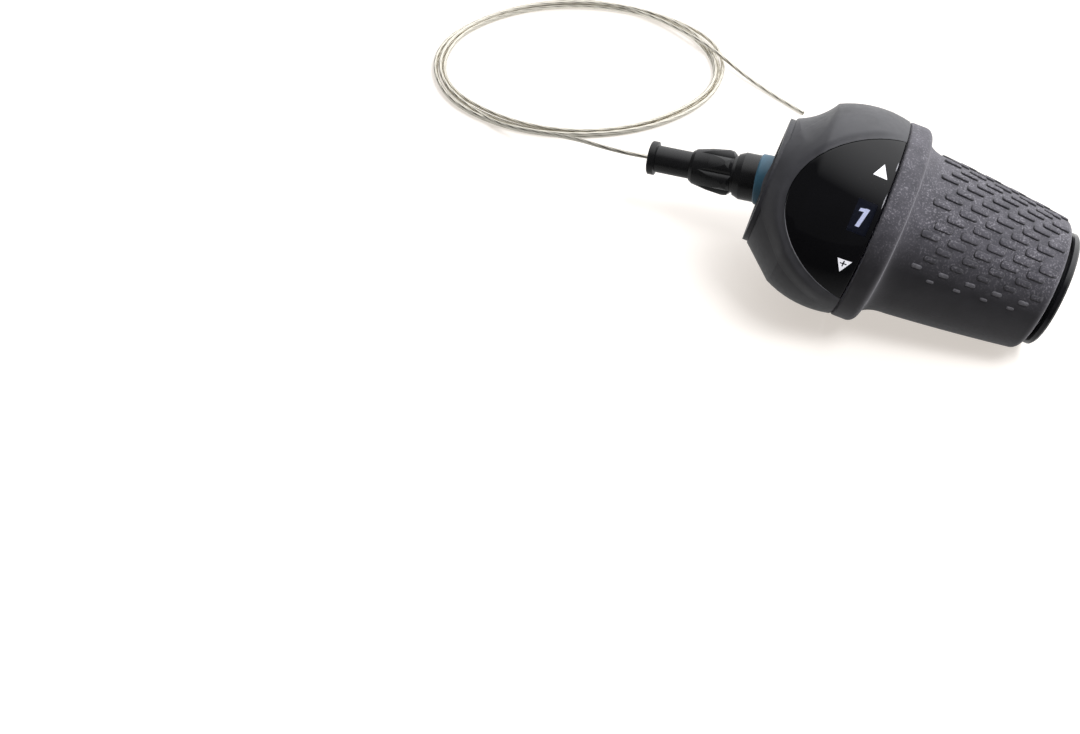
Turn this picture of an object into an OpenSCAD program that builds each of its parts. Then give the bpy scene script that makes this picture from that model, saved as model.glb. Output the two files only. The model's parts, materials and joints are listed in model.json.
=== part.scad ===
// Twist-grip gear shifter for a bicycle handlebar, lying on a table beside its coiled inner wire.
// Shifter pieces are drawn about the handlebar axis: x runs towards the grip end, x = 0 is the seam
// between housing and grip, and z points at the middle of the indicator window.

/* [Handlebar fit] */
// Radius of the bore that the handlebar goes through
bar_bore_r = 11.15; // [10.9:0.05:11.6]
// Wall of the inner tube
tube_wall = 1.55; // [1.3:0.05:1.8]
// Width of the slit that lets the tube close on the handlebar
slit_w = 2; // [1.4:0.1:2.6]

/* [Housing] */
// Length of the housing from the seam to its end wall
housing_len = 27.2; // [26.4:0.2:32]
// Widest radius of the domed housing
housing_r = 27.5; // [27.1:0.1:29]
// Radius of the neck at the end wall
neck_r = 17.3; // [16.9:0.1:18.4]
// Wall of the housing
housing_wall = 2; // [1.8:0.1:2.3]
// Depth of the hollow on the upper side of the neck
saddle_deep = 0.9; // [0.5:0.05:1]
// Radius of the lobe that carries the cable adjuster
lobe_r = 7.5; // [7.3:0.1:7.9]
// Thickness of the end plate
plate_t = 1.4; // [1:0.1:2]

/* [Window] */
// Reach of the window from the seam
window_reach = 23; // [20:0.5:23.4]
// Half width of the window at the seam
window_half = 21; // [18:0.5:21.5]
// Thickness of the window
window_t = 1.5; // [1.2:0.1:1.5]
// Width of the ledge under the edge of the window
ledge_w = 1.2; // [0.8:0.1:2]

/* [Grip] */
// Step down from the housing to the grip's flange
flange_drop = 0.7; // [0.4:0.05:1.2]
// Width of the flange
flange_w = 6.1; // [5.6:0.1:7]
// Length of the grip from the seam to its end
grip_len = 47.6; // [45:0.2:47.8]
// Radius of the grip next to the flange
grip_root_r = 21.5; // [20:0.1:22.5]
// Radius of the grip near its end
grip_tip_r = 17.9; // [17.2:0.1:19]
// Width of the ring that keeps the grip on
ring_w = 2; // [1.8:0.1:3]
// Wall of the turning sleeve inside the grip
sleeve_wall = 1.15; // [1:0.05:1.3]
// Turn of the grip from one gear to the next, in degrees
gear_step = 25; // [18:1:25]
// Length of each raised pad on the grip
pad_len = 4.6; // [3.8:0.1:5]
// Width of each raised pad
pad_w = 1.75; // [1.4:0.05:2]
// Height of the pads
pad_h = 0.45; // [0.3:0.05:0.6]

/* [Cable adjuster] */
// Length of the fixed collar outside the end wall
collar_len = 9.6; // [9:0.1:11]
// Outer radius of the fixed collar
collar_r = 6.6; // [6.2:0.1:6.8]
// Widest radius of the fluted knob
knob_r = 6.4; // [5.8:0.1:6.8]
// Length of the fluted knob
knob_len = 12; // [11:0.2:13]
// Outer radius of the casing socket
socket_r = 3.8; // [3.6:0.1:4.2]
// Radius of the casing socket's bore
socket_bore_r = 2.6; // [2.1:0.1:2.8]
// Radius of the stem that the knob is threaded on
stem_r = 3.3; // [3:0.1:3.5]

/* [Wire] */
// Radius of the inner wire
wire_r = 0.6; // [0.5:0.05:0.65]
// Radius at which the wire lies on the pulley
winding_r = 15.6; // [15.5:0.1:16]

/* [Hidden] */
$fn = 64;

// How the part lies: turned about the handlebar, then leaning on flange and grip end
roll = 54;
lean = 12.1;
adjuster_y = 15.5;
adjuster_z = -6;

// Clearances
run_gap = 0.05;
seat_gap = 0.05;
seam_gap = 0.3;
face_gap = 0.1;
inner_gap = 0.3;

// Radii that follow from the handlebar outwards
tube_r = bar_bore_r + tube_wall;
sleeve_bore_r = tube_r + run_gap;
sleeve_r = sleeve_bore_r + sleeve_wall;
hub_r = sleeve_r + seat_gap;

// Housing dome: a straight neck cone that meets an arc
dome_apex = 6.5;
dome_arc = 28;
dome_start = 18.5;
dome_steps = 10;
neck_steps = 48;
lobe_steps = 16;
shoulder_r = housing_r - dome_arc + sqrt(dome_arc ^ 2 - (dome_start - dome_apex) ^ 2);
end_wall = 2;

// Hollow on the upper side of the neck: an arc over this chord, turned about an axis beside the handlebar's
saddle_shift = 3;
saddle_from = [-housing_len + 0.4, shell_r(-housing_len + 0.4)];
saddle_chord = [-dome_start - 0.1, shell_r(-dome_start - 0.1)] - saddle_from;
saddle_r = norm(saddle_chord) ^ 2 / 8 / saddle_deep + saddle_deep / 2;
saddle_at = saddle_from + saddle_chord / 2
  + (saddle_r - saddle_deep) * [-saddle_chord[1], saddle_chord[0]] / norm(saddle_chord);

// Places along the handlebar, from the end plate to the grip end
plate_x = -housing_len - seat_gap - plate_t;
bulkhead_x = -18.8;
bulkhead_t = 1.6;
washer_t = 0.6;
sleeve_x = bulkhead_x + bulkhead_t + washer_t + 2 * face_gap;
detent_w = 2;
pulley_x = -13;
groove_x = -11.1;
pulley_end_x = -8.2;
drum_x = -7.7;
drum_end_x = -0.9;
drum_wall = 1.6;
drum_r = housing_r - housing_wall - 1.3;
bulkhead_r = shell_r(bulkhead_x) - housing_wall - seat_gap;

// Grip
flange_edge = 2.2;
grip_edge = 2;
flange_r = housing_r - flange_drop;
sleeve_flange_r = drum_r - 0.2;
sleeve_flange_t = 2.4;
root_x = 13;
fillet_steps = 8;
grip_steps = 6;
ring_gap = 0.4;
ring_x = grip_len + ring_gap + 0.6;
tube_reach = ring_x + ring_w;
ring_r = 15.3;
groove_depth = 0.5;
groove_w = 0.8;
key_w = 2.4;
key_h = 0.4;
key_angles = [50, 170, 290];

// Pads: rows round the grip, each moved along by a third of a step, that shrink towards its smooth side
pad_step = 7;
pad_corner = 0.6;
pad_root = 1;
pad_least = 0.32;
pad_from_x = 13.5;
pad_end_gap = 2.6;
row_step = 7.44;
row_start = 20;
rows = [-8, 16];
fade_from = -8;
fade_to = -42;

// Clamp
bolt_r = 1.25;
bolt_head_r = 2.25;
bolt_head_h = 2.5;
key_r = 1.15;
nut_w = 5;
nut_h = 2.2;
lug_t = 2.6;
lug_y = tube_r + bolt_r + 0.9;
lug_top = lug_y + bolt_r + 0.9;
lug_x = -21.8;
lug_w = 4.2;

// Plate screws
screw_r = 0.8;
screw_head_r = 1.4;
screw_head_h = 0.6;
screw_ring_r = 15;
screw_angles = [20, 120, 240];

// Detent
detent_r = 15.9;
notch_r = 1.3;
nose_r = 1;
notch_lift = 0.3;
leaf_t = 0.5;
post_r = 1.2;
post_y = 11.5;
post_z = 14.5;
leaf_z = 17.3;
leaf_y = post_y - 0.9;
leaf_top = post_z + 1.5;
gears = 7;

// Pulley and nipple
nipple_r = 2;
nipple_len = 4;
nipple_ring_r = winding_r + 0.5;
nipple_angle = 50;
rim_r = winding_r + 1.8;
guide_r = 1.4;
wire_gap = 0.1;

// Adjuster, along its own axis: 0 is under the seam and the socket's mouth is at socket_x
collar_chamfer = 0.8;
collar_chamfer_len = 1.9;
root_at = (-housing_len + adjuster_z * sin(lean)) / cos(lean);
outside_at = root_at - 11;
inside_at = root_at + 9;
passage_end = root_at + 21;
outer_room = 40;
collar_x = root_at - collar_len;
notch_w = 0.9;
knob_x = collar_x - notch_w;
knob_boss_r = 5.2;
tube_len = 12.1;
socket_x = knob_x - knob_len - tube_len;
rim_w = 2.2;
rim_rise = 0.95;
socket_depth = 12;
stem_end_x = root_at - 0.4;
flat_w = stem_r * 1.66;
spigot_r = 4.7;
spigot_end_x = root_at + 6.6;
collar_bore_end_x = root_at + 0.6;
boss_wall = 1.6;
petals = 6;
petal_r = 2.75;
petal_turn = 30;
ring_out_r = collar_r + 0.5;
ring_face_x = root_at - 3.5;
ring_chamfer = 0.4;
pass_r = wire_r + 0.4;

// The wire outside: hand-chosen points on the table and up to the socket, in the lying frame
table_z = -27.1;
lead_route = [[socket_x, adjuster_y, adjuster_z], [-70, 15.6, -6.2], [-78, 18, -7.6], [-87, 23.6, -11], [-96, 30, -15.6],
  [-105, 35, -19.6], [-114, 39, -22.6], [-123, 43.4, -24.6], [-131, 48.6, -25.4]];
tail_route = [[-86, 118.4, -25.2], [-79, 113.6, -24], [-71, 108, -23.2], [-62, 101.6, -23.8], [-52, 95, -25.4],
  [-41, 88.4, -26.4], [-30.6, 82, -26.4]];
coil_place = [-106.8, 84.2];
coil_turn = 19.1;
coil_a = 46.4;
coil_b = 39.4;
coil_r = 1.65;
coil_end_r = 34;
coil_sides = 8;
arc_steps = 10;
coil_side_r = ((coil_a - coil_end_r) ^ 2 + coil_b ^ 2 - coil_end_r ^ 2) / (2 * (coil_b - coil_end_r));

function unit(v) = v / norm(v);
function shell_r(x) = x < -dome_start
  ? neck_r + (x + housing_len) * (shoulder_r - neck_r) / (housing_len - dome_start)
  : housing_r - dome_arc + sqrt(dome_arc ^ 2 - (x + dome_apex) ^ 2);
function shell_line(from_x, to_x, inset) = concat(
  from_x < -dome_start ? [[shell_r(from_x) - inset, from_x]] : [],
  [for (i = [0 : dome_steps])
    let (x0 = max(from_x, -dome_start), x = x0 + (to_x - x0) * i / dome_steps)
    [shell_r(x) - inset, x]]);

// Smooth curve through hand-chosen points
function knot(p, i) = i < 0 ? 2 * p[0] - p[1]
  : i > len(p) - 1 ? 2 * p[len(p) - 1] - p[len(p) - 2] : p[i];
function curve_at(p, i, t) = let (a = knot(p, i - 1), b = knot(p, i), c = knot(p, i + 1), d = knot(p, i + 2))
  0.5 * (2 * b + (c - a) * t + (2 * a - 5 * b + 4 * c - d) * t ^ 2 + (3 * b - a - 3 * c + d) * t ^ 3);
function curve(p, n) = concat([for (i = [0 : len(p) - 2], k = [0 : n - 1]) curve_at(p, i, k / n)],
  [p[len(p) - 1]]);
function about(c, r, a, turn) = let (x = c[0] + r * cos(a), y = c[1] + r * sin(a))
  [x * cos(turn) - y * sin(turn), x * sin(turn) + y * cos(turn), 0];
function oval_arc(turn) = let (open = acos((coil_a - coil_end_r) / (coil_side_r - coil_end_r)))
  concat([for (i = [0 : arc_steps - 1])
      about([coil_a - coil_end_r, 0], coil_end_r, open * (2 * i / arc_steps - 1), turn)],
    [for (i = [0 : arc_steps - 1])
      about([0, coil_b - coil_side_r], coil_side_r, open + (180 - 2 * open) * i / arc_steps, turn)]);
function heading(p, i) = unit(p[min(i + 1, len(p) - 1)] - p[max(i - 1, 0)]);
function ring_at(c, t, r, n) = let (s = unit(cross(t, [0, 0, 1])), u = cross(s, t))
  [for (a = [0 : n - 1]) c + r * (cos(360 * a / n) * s + sin(360 * a / n) * u)];

// Round tube swept along a list of points
module swept_tube(p, r, n) {
  last = len(p) - 1;
  polyhedron(
    points = [for (i = [0 : last]) each ring_at(p[i], heading(p, i), r, n)],
    faces = concat(
      [[for (a = [0 : n - 1]) n - 1 - a]],
      [for (i = [0 : last - 1], a = [0 : n - 1])
        let (b = (a + 1) % n) [i * n + a, i * n + b, (i + 1) * n + b, (i + 1) * n + a]],
      [[for (a = [0 : n - 1]) last * n + a]]));
}

// Places
module lay() rotate([roll, lean, 0]) children();
module about_bar(fn = 96) rotate([0, 90, 0]) rotate_extrude($fn = fn) children();
module along_bar(x, len, r) translate([x, 0, 0]) rotate([0, 90, 0]) cylinder(h = len, r = r, $fn = 96);
module on_adjuster() rotate([-roll, 0, 0]) rotate([0, -lean, 0]) translate([0, adjuster_y, adjuster_z]) children();
module rod(x, end_x, r) translate([x, 0, 0]) rotate([0, 90, 0]) cylinder(h = end_x - x, r = r);
module at_clamp() translate([lug_x, lug_y, 0]) children();
module at_screws() for (a = screw_angles) rotate([a, 0, 0]) translate([0, 0, screw_ring_r]) children();

// The adjuster's axis crosses the end plate here, as seen from the handlebar's axis
function in_bar(p) = let (x = p[0] * cos(lean) - p[2] * sin(lean), h = p[0] * sin(lean) + p[2] * cos(lean))
  [x, p[1] * cos(roll) + h * sin(roll), h * cos(roll) - p[1] * sin(roll)];
lobe_at = in_bar([root_at, adjuster_y, adjuster_z]);
// Way of the adjuster's axis into the housing
adjuster_way = in_bar([1, 0, 0]);

// The wire leaves the adjuster's axis on a bend and meets the pulley at a tangent
bend_r = 8;
bend_steps = 8;
wire_pull = [lobe_at[1] + adjuster_way[1] / adjuster_way[0] * (groove_x - lobe_at[0]),
  lobe_at[2] + adjuster_way[2] / adjuster_way[0] * (groove_x - lobe_at[0])];
touch_angle = acos(winding_r / norm(wire_pull)) + atan2(wire_pull[0], -wire_pull[1]);
touch_way = [0, cos(touch_angle), sin(touch_angle)];
bend_x = groove_x - bend_r * adjuster_way[0];
bend_at = [bend_x, lobe_at[1] + adjuster_way[1] / adjuster_way[0] * (bend_x - lobe_at[0]),
  lobe_at[2] + adjuster_way[2] / adjuster_way[0] * (bend_x - lobe_at[0])];
function bend_point(a) = bend_at + bend_r * (sin(a) * adjuster_way + (1 - cos(a)) * touch_way);
function wound_point(a) = [groove_x, winding_r * sin(a), -winding_r * cos(a)];

module shell_outline(inset, end_x) polygon(concat([[0, -housing_len]],
  shell_line(-housing_len, end_x, inset), [[0, end_x]]));
module window_plan(reach, half) linear_extrude(height = housing_r + 12)
  polygon([for (a = [-90 : 7.5 : 90]) [-reach * pow(cos(a), 1.24), half * sin(a)]]);
module lobe(r, x, end_x) translate([x, lobe_at[1], lobe_at[2]]) rotate([0, 90, 0]) cylinder(h = end_x - x, r = r);

// Slab with the outline of the neck and its lobe, as the end plate has it
module neck_slab(x, end_x, r, side_r) {
  reach = norm([lobe_at[1], lobe_at[2]]);
  open = acos((r - side_r) / reach);
  rotate([atan2(lobe_at[1], -lobe_at[2]), 0, 0]) translate([x, 0, 0]) rotate([90, 0, 90])
    linear_extrude(height = end_x - x) polygon(concat(
      [for (i = [0 : neck_steps]) let (a = open + (360 - 2 * open) * i / neck_steps) r * [sin(a), -cos(a)]],
      [for (i = [0 : lobe_steps]) let (a = open * (2 * i / lobe_steps - 1))
        [side_r * sin(a), -reach - side_r * cos(a)]]));
}

module base_tube() color("#2b2c2f") lay() {
  difference() {
    union() {
      about_bar() polygon([[bar_bore_r, plate_x], [tube_r, plate_x], [tube_r, bulkhead_x],
        [bulkhead_r, bulkhead_x], [bulkhead_r, bulkhead_x + bulkhead_t], [tube_r, bulkhead_x + bulkhead_t],
        [tube_r, tube_reach - 2 * groove_w], [tube_r - groove_depth, tube_reach - 2 * groove_w],
        [tube_r - groove_depth, tube_reach - groove_w], [tube_r, tube_reach - groove_w],
        [tube_r, tube_reach], [bar_bore_r, tube_reach]]);
      difference() {
        translate([lug_x - lug_w / 2, 0, -lug_t - slit_w / 2])
          cube([lug_w, lug_top, 2 * lug_t + slit_w]);
        along_bar(lug_x - lug_w, 2 * lug_w, bar_bore_r + tube_wall / 2);
      }
      for (side = [-1, 1]) translate([0, side * post_y, post_z])
        rod(bulkhead_x + bulkhead_t / 2, sleeve_x + detent_w, post_r);
    }
    translate([plate_x - 1, 0, -slit_w / 2]) cube([bulkhead_x - plate_x - 0.5, housing_r, slit_w]);
    at_clamp() cylinder(h = 20, r = bolt_r + wire_gap, center = true);
    on_adjuster() rod(outside_at, passage_end, guide_r + inner_gap);
  }
}

module housing_shell() color("#3a3b3e") lay() difference() {
  union() {
    difference() {
      union() {
        difference() {
          about_bar() shell_outline(0, -seam_gap);
          translate([saddle_at[0], -saddle_shift, 0]) about_bar()
            translate([saddle_at[1] + saddle_shift, 0]) circle(r = saddle_r, $fn = 96);
        }
        lobe(lobe_r, -housing_len, -12);
      }
      about_bar() polygon(concat([[0, -housing_len + end_wall]],
        shell_line(-housing_len + end_wall, 1, housing_wall), [[0, 1]]));
    }
    intersection() {
      on_adjuster() rod(outside_at, spigot_end_x + inner_gap, spigot_r + boss_wall);
      along_bar(-housing_len, 12, lobe_r - lobe_at[2]);
    }
  }
  along_bar(-housing_len - 1, 8, tube_r + wire_gap);
  on_adjuster() rod(outside_at, spigot_end_x + 2, spigot_r + seat_gap);
  intersection() {
    window_plan(window_reach, window_half);
    difference() {
      along_bar(-housing_len, housing_len, housing_r + 1);
      about_bar() shell_outline(window_t + seat_gap, 1);
    }
  }
  window_plan(window_reach - ledge_w, window_half - ledge_w);
  at_clamp() translate([0, 0, -30]) cylinder(h = 30 + lug_t + slit_w / 2 + nut_h + 0.3, r = nut_w * 0.62);
  at_screws() rod(-housing_len - 1, -housing_len + 1.8, screw_r + wire_gap / 2);
}

module window_lens() color("#08090b") lay() intersection() {
  window_plan(window_reach - wire_gap, window_half - wire_gap);
  difference() {
    about_bar() shell_outline(seat_gap, -seam_gap);
    about_bar() shell_outline(window_t, 1);
  }
}

module end_plate() color("#4b4d50") lay() difference() {
  neck_slab(plate_x, plate_x + plate_t, neck_r - 0.4, lobe_r);
  along_bar(plate_x - 1, 4, tube_r + wire_gap);
  on_adjuster() rod(outside_at, inside_at, spigot_r + seat_gap);
  at_screws() {
    rod(plate_x - 1, plate_x + plate_t + 1, screw_r + wire_gap);
    screw_head(wire_gap);
  }
}

// Countersunk head, flush with the end plate
module screw_head(clear) translate([plate_x - clear, 0, 0]) rotate([0, 90, 0])
  cylinder(h = screw_head_h + clear, r1 = screw_head_r + 2 * clear, r2 = screw_r + clear);

module plate_screws() color("#8d9094") lay() at_screws() difference() {
  union() {
    screw_head(0);
    rod(plate_x + screw_head_h / 2, -housing_len + 1.6, screw_r);
  }
  for (turn = [0, 90]) rotate([turn, 0, 0])
    translate([plate_x - 1, -screw_head_r * 0.6, -0.15]) cube([1 + screw_head_h * 0.7, screw_head_r * 1.2, 0.3]);
}

module clamp_bolt() color("#8d9094") lay() at_clamp() difference() {
  union() {
    translate([0, 0, -slit_w / 2 - lug_t - bolt_head_h]) cylinder(h = bolt_head_h, r = bolt_head_r);
    translate([0, 0, -slit_w / 2 - lug_t - 0.01]) cylinder(h = slit_w + 2 * lug_t + nut_h, r = bolt_r);
  }
  translate([0, 0, -slit_w / 2 - lug_t - bolt_head_h - 0.1]) cylinder(h = 1.5, r = key_r, $fn = 6);
}

module clamp_nut() color("#8d9094") lay() at_clamp() translate([0, 0, slit_w / 2 + lug_t])
  difference() {
    cylinder(h = nut_h, r = nut_w / 2 / cos(30), $fn = 6);
    translate([0, 0, -1]) cylinder(h = nut_h + 2, r = bolt_r + seat_gap);
  }

module thrust_washer() color("#c9cbcd") lay() about_bar()
  translate([tube_r + seat_gap, bulkhead_x + bulkhead_t + face_gap]) square([3, washer_t]);

module detent_spring() color("#b9bcc0") lay() {
  spring_slab() polygon([[-leaf_y, leaf_top], [0, leaf_z + leaf_t / 2], [leaf_y, leaf_top],
    [leaf_y, leaf_top - leaf_t], [0, leaf_z - leaf_t / 2], [-leaf_y, leaf_top - leaf_t]]);
  spring_slab() translate([0, detent_r + notch_lift + 0.4]) circle(r = nose_r);
  for (side = [-1, 1]) spring_slab() translate([side * post_y, post_z]) difference() {
    circle(r = post_r + seat_gap + leaf_t);
    circle(r = post_r + seat_gap);
  }
}
module spring_slab() translate([sleeve_x, 0, 0]) rotate([90, 0, 90]) linear_extrude(height = detent_w) children();

module cable_guide() color("#d8d9d6") lay() {
  path = concat([in_bar([spigot_end_x + face_gap, adjuster_y, adjuster_z])],
    [for (i = [0 : bend_steps / 2]) bend_point(i * 90 / bend_steps)]);
  difference() {
    swept_tube(path, guide_r, 16);
    swept_tube(concat([path[0] - adjuster_way], path, [path[len(path) - 1]
      + unit(path[len(path) - 1] - path[len(path) - 2])]), wire_r + wire_gap, 12);
  }
}

// Section of the stem: round with two flats that keep it from turning in the collar
module stem_section(x, end_x, clear) intersection() {
  rod(x, end_x, stem_r + clear);
  translate([x, -stem_r - 1, -flat_w / 2 - clear]) cube([end_x - x, 2 * stem_r + 2, flat_w + 2 * clear]);
}

module adjuster_collar() color("#1c1d1f") lay() difference() {
  on_adjuster() rotate([0, 90, 0]) rotate_extrude() polygon([[0, collar_x], [collar_r - collar_chamfer, collar_x],
    [collar_r, collar_x + collar_chamfer_len], [collar_r, ring_face_x], [spigot_r, ring_face_x],
    [spigot_r, spigot_end_x], [0, spigot_end_x]]);
  on_adjuster() {
    stem_section(collar_x - 1, collar_bore_end_x, run_gap);
    rod(collar_bore_end_x - 1, spigot_end_x + 1, pass_r);
  }
}

module collar_ring() color("#6fa9c9") lay() intersection() {
  on_adjuster() rotate([0, 90, 0]) rotate_extrude() polygon([[spigot_r + seat_gap, ring_face_x],
    [ring_out_r - ring_chamfer, ring_face_x], [ring_out_r, ring_face_x + ring_chamfer], [ring_out_r, inside_at],
    [spigot_r + seat_gap, inside_at]]);
  along_bar(plate_x - outer_room, outer_room, outer_room);
}

module end_ring() color("#0d0e10") lay() {
  about_bar() polygon([[tube_r + seat_gap, ring_x], [ring_r - 0.4, ring_x], [ring_r, ring_x + 0.4],
    [ring_r, tube_reach - 0.5], [ring_r - 0.5, tube_reach], [tube_r + seat_gap, tube_reach],
    [tube_r + seat_gap, tube_reach - groove_w - face_gap],
    [tube_r - groove_depth + face_gap, tube_reach - groove_w - face_gap],
    [tube_r - groove_depth + face_gap, tube_reach - 2 * groove_w + face_gap],
    [tube_r + seat_gap, tube_reach - 2 * groove_w + face_gap]]);
}

module inner_cable() color("#b8b4a8") lay() swept_tube(concat(
  [in_bar([socket_x, adjuster_y, adjuster_z]), bend_at - 2 * adjuster_way],
  [for (i = [0 : bend_steps]) bend_point(i * 90 / bend_steps)],
  [for (a = [touch_angle + 3 : 2 : nipple_angle - 7.6]) wound_point(a)]), wire_r, 12);

// Keys that turn the drum, the detent ring and the pulley with the sleeve
module keys(x, end_x, clear) for (a = key_angles) rotate([a, 0, 0])
  translate([x, -key_w / 2 - clear, sleeve_r - sleeve_wall / 2])
    cube([end_x - x, key_w + 2 * clear, key_h + clear + sleeve_wall / 2]);

module grip_sleeve() color("#4a4b4e") lay() {
  about_bar() polygon([
    [sleeve_bore_r, sleeve_x], [sleeve_r, sleeve_x], [sleeve_r, seam_gap], [sleeve_flange_r, seam_gap],
    [sleeve_flange_r, seam_gap + sleeve_flange_t], [sleeve_r, seam_gap + sleeve_flange_t],
    [sleeve_r, grip_len + ring_gap], [sleeve_bore_r, grip_len + ring_gap]]);
  keys(sleeve_x + face_gap, drum_end_x, 0);
}

// Radius of the grip between its fillet and its end, and the angle of its taper there
function grip_share(x) = (x - root_x) / (grip_len - grip_edge - root_x);
function grip_r(x) = let (s = grip_share(x)) grip_root_r + (grip_tip_r - grip_root_r) * (0.75 * s + 0.25 * s ^ 2);
function grip_taper(x) = atan(grip_r(x) - grip_r(x + 1));

module pad(x, angle, size) rotate([-angle, 0, 0]) translate([x, 0, grip_r(x)]) rotate([0, grip_taper(x), 0]) {
  long = pad_len / 2 * (pad_least + (1 - pad_least) * size);
  half = pad_w / 2 * (pad_least + (1 - pad_least) * size);
  cut = min(pad_corner, half * 0.6);
  translate([0, 0, -pad_root]) linear_extrude(height = pad_root + pad_h * (pad_least + (1 - pad_least) * size))
    polygon([
      [long, half - cut], [long - cut, half], [cut - long, half], [-long, half - cut],
      [-long, cut - half], [cut - long, -half], [long - cut, -half], [long, cut - half]]);
}

module rubber_grip() color("#35363b") lay() {
  edge_x = seam_gap + flange_w - flange_edge;
  fillet_x = seam_gap + flange_w;
  end_x = grip_len;
  for (row = [rows[0] : rows[1]]) {
    angle = row_start + row * row_step;
    first = pad_from_x + (row - rows[0]) % 3 * pad_step / 3;
    for (x = [first : pad_step : grip_len - pad_end_gap])
      pad(x, angle, min(1, (angle - fade_to) / (fade_from - fade_to)));
  }
  about_bar() polygon(concat(
    [[hub_r, seam_gap + sleeve_flange_t + seat_gap],
      [sleeve_flange_r + seat_gap, seam_gap + sleeve_flange_t + seat_gap],
      [sleeve_flange_r + seat_gap, seam_gap], [flange_r - 0.5, seam_gap], [flange_r, seam_gap + 0.5]],
    [for (i = [0 : 4]) let (a = 20 * i) [flange_r - flange_edge * (1 - cos(a)), edge_x + flange_edge * sin(a)]],
    [for (i = [1 : fillet_steps]) let (a = 90 * i / fillet_steps)
      [grip_root_r + (flange_r - flange_edge - grip_root_r) * (1 - sin(a)),
        fillet_x + (root_x - fillet_x) * (1 - cos(a))]],
    [for (i = [1 : grip_steps]) let (x = root_x + (end_x - grip_edge - root_x) * i / grip_steps) [grip_r(x), x]],
    [for (i = [1 : 4]) let (a = 90 * i / 4)
      [grip_tip_r - grip_edge * (1 - cos(a)), end_x - grip_edge * (1 - sin(a))]],
    [[hub_r, end_x]]));
}

module number_drum() color("#1a1b1e") lay() difference() {
  about_bar() polygon([[hub_r, drum_x], [hub_r + drum_wall, drum_x], [hub_r + drum_wall, drum_end_x - drum_wall],
    [drum_r - drum_wall, drum_end_x - drum_wall], [drum_r - drum_wall, drum_x], [drum_r, drum_x],
    [drum_r, drum_end_x], [hub_r, drum_end_x]]);
  keys(drum_x - 1, drum_end_x + 1, seat_gap);
}

module detent_ring() color("#d4d2c8") lay() difference() {
  along_bar(sleeve_x, detent_w, detent_r);
  along_bar(sleeve_x - 1, detent_w + 2, hub_r);
  keys(sleeve_x - 1, sleeve_x + detent_w + 1, seat_gap);
  for (i = [0 : gears - 1]) rotate([-gear_step * i, 0, 0])
    translate([0, 0, detent_r + notch_lift]) rod(sleeve_x - 1, sleeve_x + detent_w + 1, notch_r);
}

module winding_pulley() color("#8c8d88") lay() difference() {
  about_bar() polygon([[hub_r, pulley_x], [winding_r, pulley_x], [winding_r, groove_x - 1],
    [winding_r - wire_r - wire_gap, groove_x - 0.8], [winding_r - wire_r - wire_gap, groove_x + 0.8],
    [rim_r, groove_x + 1.9], [rim_r, pulley_end_x], [hub_r, pulley_end_x]]);
  keys(pulley_x - 1, pulley_end_x + 1, seat_gap);
  rotate([nipple_angle, 0, 0]) translate([0, 0, -nipple_ring_r])
    rod(pulley_x - 1, pulley_x + nipple_len, nipple_r + seat_gap);
}

module cable_nipple() color("#a9aaa8") lay() rotate([nipple_angle, 0, 0]) translate([0, 0, -nipple_ring_r])
  rod(pulley_x, pulley_x + nipple_len - seat_gap, nipple_r);

module adjusting_knob() color("#232426") lay() on_adjuster() difference() {
  union() {
    intersection() {
      rotate([0, 90, 0]) rotate_extrude() polygon([[0, knob_x - knob_len], [socket_r + 0.4, knob_x - knob_len],
        [knob_r - 1.5, knob_x - knob_len + 1], [knob_r - 0.55, knob_x - knob_len * 0.55], [knob_r, knob_x - 2],
        [knob_r - 0.2, knob_x - 0.8], [knob_r - 0.9, knob_x], [0, knob_x]]);
      union() {
        rod(knob_x - knob_len, knob_x, socket_r + 1);
        for (i = [0 : petals - 1]) rotate([i * 360 / petals + petal_turn, 0, 0])
          translate([0, 0, knob_r - petal_r]) rod(knob_x - knob_len, knob_x, petal_r);
      }
    }
    rod(knob_x - 0.01, collar_x - seat_gap, knob_boss_r);
  }
  rod(knob_x - knob_len - 1, collar_x + 1, stem_r + run_gap);
  rod(knob_x - knob_len - 1, knob_x - knob_len + 2, socket_r + run_gap);
}

module casing_socket() color("#1a1b1d") lay() on_adjuster() difference() {
  union() {
    rotate([0, 90, 0]) rotate_extrude() polygon([[0, socket_x], [socket_r + rim_rise - 0.3, socket_x],
      [socket_r + rim_rise, socket_x + 0.3], [socket_r + rim_rise, socket_x + rim_w - 0.3],
      [socket_r, socket_x + rim_w], [socket_r, knob_x - knob_len + 1], [0, knob_x - knob_len + 1]]);
    stem_section(knob_x - knob_len, stem_end_x, 0);
  }
  rod(socket_x - 1, socket_x + socket_depth, socket_bore_r);
  rod(socket_x, stem_end_x + 1, pass_r);
}

module wire_lead() color("#b8b4a8") swept_tube(curve(lead_route, 4), wire_r, 8);

module wire_tail() color("#b8b4a8") swept_tube(curve(tail_route, 3), wire_r, 8);

// Outer shape of the coil: an oval of four arcs, swept with the section of the wound bundle
module wire_coil() color("#b8b4a8") translate([coil_place[0], coil_place[1], table_z + coil_r])
  rotate([0, 0, coil_turn]) {
    loop = concat(oval_arc(0), oval_arc(180));
    count = len(loop);
    polyhedron(
      points = [for (i = [0 : count - 1])
        each ring_at(loop[i], unit(loop[(i + 1) % count] - loop[(i + count - 1) % count]), coil_r, coil_sides)],
      faces = [for (i = [0 : count - 1], a = [0 : coil_sides - 1])
        let (b = (a + 1) % coil_sides, j = (i + 1) % count)
        [i * coil_sides + a, i * coil_sides + b, j * coil_sides + b, j * coil_sides + a]]);
  }

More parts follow.
